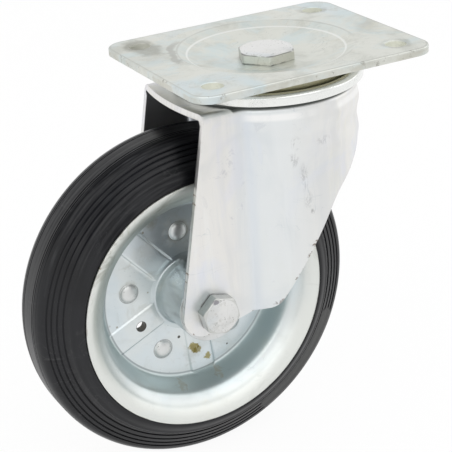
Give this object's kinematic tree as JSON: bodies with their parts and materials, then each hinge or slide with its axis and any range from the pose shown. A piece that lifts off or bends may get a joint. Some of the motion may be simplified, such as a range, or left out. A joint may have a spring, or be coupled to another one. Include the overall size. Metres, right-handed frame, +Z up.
{
  "type": "swivel castor wheel",
  "caption": "Swivel castor wheel for a gate: dished mounting plate, ball-race swivel head, sheet steel fork and black rubber tyre on a pressed steel rim with roller bearing.",
  "frame": {"origin": "on the swivel axis, in the flat top face of the mounting plate", "axes": "+Z up along the swivel axis; the wheel trails towards -X; +Y along the wheel axle towards its nut"},
  "size_m": [0.2125, 0.11, 0.213],
  "materials": {
    "zinc_plate": "bright zinc plating on pressed steel, faintly yellow and blue",
    "zinc_fork": "bright zinc plating on deep-drawn steel, smeared and slightly blue",
    "zinc_rim": "glossy blue zinc plating on pressed steel",
    "zinc_bolt": "bright zinc-plated forged steel",
    "yellow_zinc": "yellow passivated zinc under a film of grease",
    "bare_steel": "turned steel, oiled",
    "bearing_steel": "ground and polished bearing steel",
    "cage_plastic": "moulded nylon",
    "black_rubber": "moulded black rubber, satin"
  },
  "bodies": {
    "plate": {"top_plate": "zinc_plate", "king_bolt": "zinc_bolt", "king_nut": "zinc_bolt", "king_lock_washer": "zinc_bolt", "king_spacer": "bare_steel", "upper_race": "yellow_zinc", "lower_race": "bare_steel"},
    "fork": {"fork": "zinc_fork", "swivel_ring": "zinc_plate", "axle_bolt": "zinc_bolt", "axle_washer": "zinc_bolt", "axle_nut": "zinc_bolt", "axle_sleeve": "bare_steel"},
    "wheel": {"hub_tube": "zinc_rim", "hub_cap_near": "zinc_bolt", "hub_cap_far": "zinc_bolt", "rim_near": "zinc_rim", "rim_far": "zinc_rim", "rim_rivets": "zinc_rim", "tyre": "black_rubber"},
    "upper_ball_ring": {"upper_balls": "bearing_steel"},
    "lower_ball_ring": {"lower_balls": "bearing_steel"},
    "roller_ring": {"roller_cage": "cage_plastic", "rollers": "bearing_steel"}
  },
  "joints": [
    {"name": "fork_swivel", "type": "hinge", "parent": "plate", "child": "fork", "pos_m": [0, 0, -0.0123], "axis": [0, 0, 1], "continuous": true},
    {"name": "wheel_spin", "type": "hinge", "parent": "fork", "child": "wheel", "pos_m": [-0.055, 0, -0.12299], "axis": [0, 1, 0], "continuous": true},
    {"name": "upper_balls_roll", "type": "hinge", "parent": "plate", "child": "upper_ball_ring", "pos_m": [0, 0, -0.0123], "axis": [0, 0, 1], "continuous": true},
    {"name": "lower_balls_roll", "type": "hinge", "parent": "plate", "child": "lower_ball_ring", "pos_m": [0, 0, -0.0222], "axis": [0, 0, 1], "continuous": true},
    {"name": "rollers_roll", "type": "hinge", "parent": "fork", "child": "roller_ring", "pos_m": [-0.055, 0, -0.12299], "axis": [0, 1, 0], "continuous": true}
  ],
  "couplings": [
    {"joint": "upper_balls_roll", "follows": "fork_swivel", "ratio": 0.5},
    {"joint": "lower_balls_roll", "follows": "fork_swivel", "ratio": 0.5},
    {"joint": "rollers_roll", "follows": "wheel_spin", "ratio": 0.6}
  ]
}
